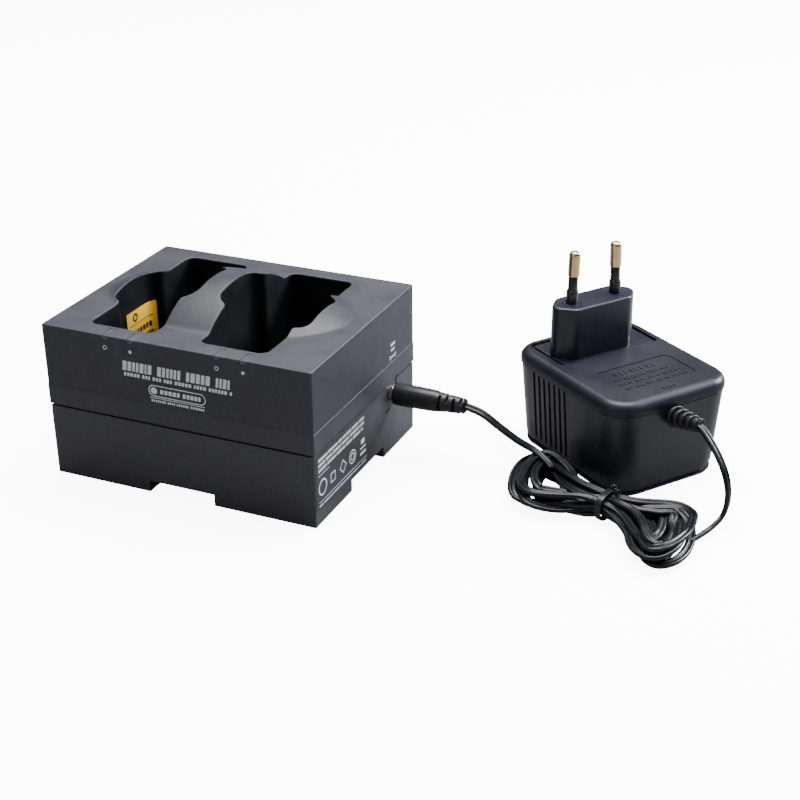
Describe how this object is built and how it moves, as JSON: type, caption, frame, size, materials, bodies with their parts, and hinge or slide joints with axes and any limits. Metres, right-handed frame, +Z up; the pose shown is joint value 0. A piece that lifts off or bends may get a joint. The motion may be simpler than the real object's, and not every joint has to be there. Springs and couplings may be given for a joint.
{
  "type": "two-bay charging station",
  "caption": "Table-top charging station for belt-worn wireless transmitters, with two open bays, a plug-in mains supply and a tied lead.",
  "frame": {"origin": "front left lower corner of the station's feet, on the table", "axes": "+X along the front edge to the right, towards the supply; +Y from front to back; +Z up"},
  "size_m": [0.226, 0.1258, 0.0738],
  "materials": {
    "cover_plastic": "fine textured black plastic, satin",
    "base_plastic": "fine textured black plastic, satin",
    "board": "solder mask over glass laminate",
    "component_black": "moulded epoxy",
    "capacitor_sleeve": "shrink sleeve",
    "lamp": "clear moulded lens",
    "light_pipe": "smoked clear moulding",
    "plated_contact": "gold plated, polished",
    "spring_steel": "drawn wire",
    "screw_steel": "zinc plated",
    "label_dark": "printed film",
    "label_yellow": "printed film",
    "cable_rubber": "smooth PVC, satin",
    "nickel": "nickel plated, worn",
    "insulator": "moulded nylon",
    "supply_plastic": "black plastic, soft gloss",
    "core_steel": "varnished laminations",
    "copper_wire": "enamelled wire under tape",
    "wire_red": "insulated wire"
  },
  "bodies": {
    "station": {"top_cover": "cover_plastic", "base_housing": "base_plastic", "main_board": "board", "charge_chips": "component_black", "voltage_regulator": "component_black", "board_capacitors": "capacitor_sleeve", "indicator_board": "board", "indicator_lamps": "lamp", "light_pipes": "light_pipe", "dc_jack_shell": "component_black", "dc_jack_pin": "plated_contact", "contact_sleeves": "plated_contact", "spring_left_front": "spring_steel", "spring_left_rear": "spring_steel", "spring_right_front": "spring_steel", "spring_right_rear": "spring_steel", "case_screws": "screw_steel", "board_screws": "screw_steel", "side_label": "label_dark", "bay_label": "label_yellow"},
    "contact_left_front": {"contact_left_front": "plated_contact"},
    "contact_left_rear": {"contact_left_rear": "plated_contact"},
    "contact_right_front": {"contact_right_front": "plated_contact"},
    "contact_right_rear": {"contact_right_rear": "plated_contact"},
    "dc_plug": {"plug_grip": "cable_rubber", "plug_barrel": "nickel", "plug_insulator": "insulator"},
    "power_supply": {"lead_front": "cable_rubber", "lead_hank": "cable_rubber", "lead_tie": "cable_rubber", "lead_rear": "cable_rubber", "strain_relief": "cable_rubber", "supply_case": "supply_plastic", "supply_lid": "supply_plastic", "plug_insert": "supply_plastic", "mains_pins": "nickel", "pin_sleeves": "supply_plastic", "transformer_core": "core_steel", "bobbin": "insulator", "primary_winding": "copper_wire", "secondary_winding": "copper_wire", "thermal_fuse": "insulator", "rectifier_board": "board", "rectifier_diodes": "component_black", "supply_capacitor": "capacitor_sleeve", "supply_wires": "wire_red"}
  },
  "joints": [
    {"name": "press_left_front", "type": "slide", "parent": "station", "child": "contact_left_front", "axis": [0, 0, -1], "range_m": [0, 0.002], "stiffness_N_per_m": 150, "springref_m": -0.001, "deforming": ["spring_left_front"]},
    {"name": "press_left_rear", "type": "slide", "parent": "station", "child": "contact_left_rear", "axis": [0, 0, -1], "range_m": [0, 0.002], "stiffness_N_per_m": 150, "springref_m": -0.001, "deforming": ["spring_left_rear"]},
    {"name": "press_right_front", "type": "slide", "parent": "station", "child": "contact_right_front", "axis": [0, 0, -1], "range_m": [0, 0.002], "stiffness_N_per_m": 150, "springref_m": -0.001, "deforming": ["spring_right_front"]},
    {"name": "press_right_rear", "type": "slide", "parent": "station", "child": "contact_right_rear", "axis": [0, 0, -1], "range_m": [0, 0.002], "stiffness_N_per_m": 150, "springref_m": -0.001, "deforming": ["spring_right_rear"]},
    {"name": "plug_pull", "type": "slide", "parent": "station", "child": "dc_plug", "axis": [1, 0, 0], "range_m": [0, 0.012]},
    {"name": "lead_swing", "type": "hinge", "parent": "dc_plug", "child": "power_supply", "pos_m": [0.1299, 0.0608, 0.0224], "axis": [0, 0, 1], "range_deg": [-20, 20]}
  ]
}
